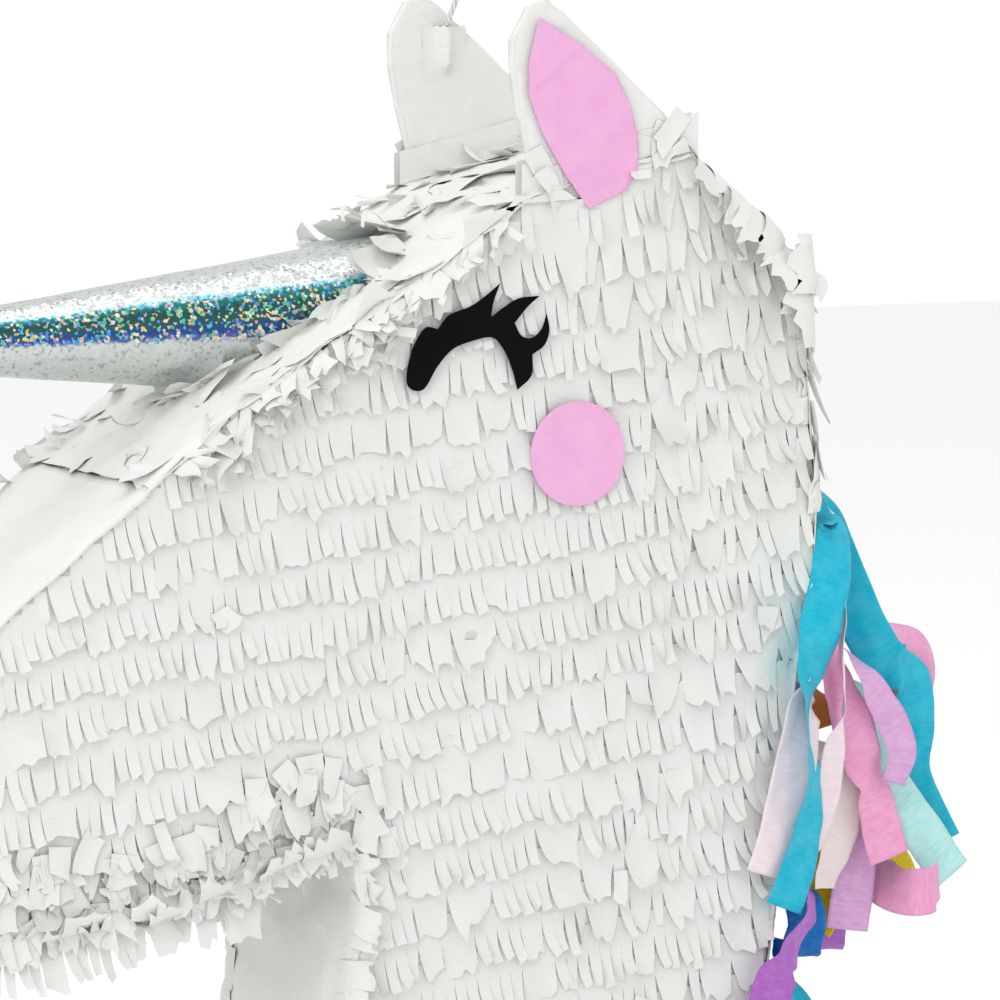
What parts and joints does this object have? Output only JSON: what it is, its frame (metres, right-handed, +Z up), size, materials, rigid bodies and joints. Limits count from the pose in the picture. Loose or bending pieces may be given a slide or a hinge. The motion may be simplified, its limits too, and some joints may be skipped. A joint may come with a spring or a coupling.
{
  "type": "pinata",
  "caption": "Unicorn-head pinata: hollow card head covered in rows of cut white tissue, with a foil horn, ears, closed eyes, pink cheeks, a crepe streamer mane, a fill flap and a hanging cord.",
  "frame": {"origin": "centre of the flat underside of the neck, which the head stands on", "axes": "+Z up; the head looks along -X with its horn; its left side faces -Y"},
  "size_m": [0.4634, 0.1267, 0.4671],
  "materials": {
    "kraft_card": "matte",
    "white_tissue": "matte",
    "horn_foil": "gloss",
    "black_paper": "matte",
    "pink_paper": "matte",
    "cord": "matte",
    "crepe_cyan": "matte",
    "crepe_pale": "matte",
    "crepe_cream": "matte",
    "crepe_pink": "matte",
    "crepe_lilac": "matte",
    "crepe_mint": "matte",
    "crepe_yellow": "matte",
    "crepe_blue": "matte",
    "crepe_violet": "matte",
    "crepe_orange": "matte"
  },
  "bodies": {
    "head": {"base_band": "kraft_card", "crest_lower_band": "kraft_card", "crest_lower_fringe": "white_tissue", "crest_upper_band": "kraft_card", "crest_upper_fringe": "white_tissue", "forehead_band": "kraft_card", "forehead_fringe": "white_tissue", "hanging_cord": "cord", "horn": "horn_foil", "jaw_band": "kraft_card", "jaw_fringe": "white_tissue", "left_cheek": "pink_paper", "left_cord_tab": "white_tissue", "left_ear_patch": "pink_paper", "left_ear_tissue": "white_tissue", "left_eyelashes": "black_paper", "left_side_fringe": "white_tissue", "left_side_panel": "kraft_card", "mane_blue_curl": "crepe_blue", "mane_blue_far": "crepe_blue", "mane_cream": "crepe_cream", "mane_cyan_edge": "crepe_cyan", "mane_cyan_front": "crepe_cyan", "mane_cyan_low": "crepe_cyan", "mane_lilac_far": "crepe_lilac", "mane_lilac_hang": "crepe_lilac", "mane_lilac_loop": "crepe_lilac", "mane_mint_back": "crepe_mint", "mane_mint_far": "crepe_mint", "mane_mint_front": "crepe_mint", "mane_orange": "crepe_orange", "mane_pale_edge": "crepe_pale", "mane_pale_twist": "crepe_pale", "mane_pink_back": "crepe_pink", "mane_pink_curl": "crepe_pink", "mane_pink_fold": "crepe_pink", "mane_strip": "crepe_cyan", "mane_violet_curl": "crepe_violet", "mane_violet_ribbon": "crepe_violet", "mane_yellow_back": "crepe_yellow", "mane_yellow_curl": "crepe_yellow", "muzzle_band": "kraft_card", "muzzle_fringe": "white_tissue", "neck_front_band": "kraft_card", "neck_front_tissue": "white_tissue", "nose_bridge_band": "kraft_card", "nose_bridge_tissue": "white_tissue", "poll_band": "kraft_card", "poll_tissue": "white_tissue", "right_cheek": "pink_paper", "right_cord_tab": "white_tissue", "right_ear_patch": "pink_paper", "right_ear_tissue": "white_tissue", "right_eyelashes": "black_paper", "right_side_fringe": "white_tissue", "right_side_panel": "kraft_card"},
    "fill_flap": {"fill_flap": "kraft_card", "fill_flap_fringe": "white_tissue"}
  },
  "joints": [
    {"name": "fill_flap_fold", "type": "hinge", "parent": "head", "child": "fill_flap", "pos_m": [0.10342, 0, 0.32902], "axis": [0, -1, 0], "range_deg": [0, 100]}
  ]
}
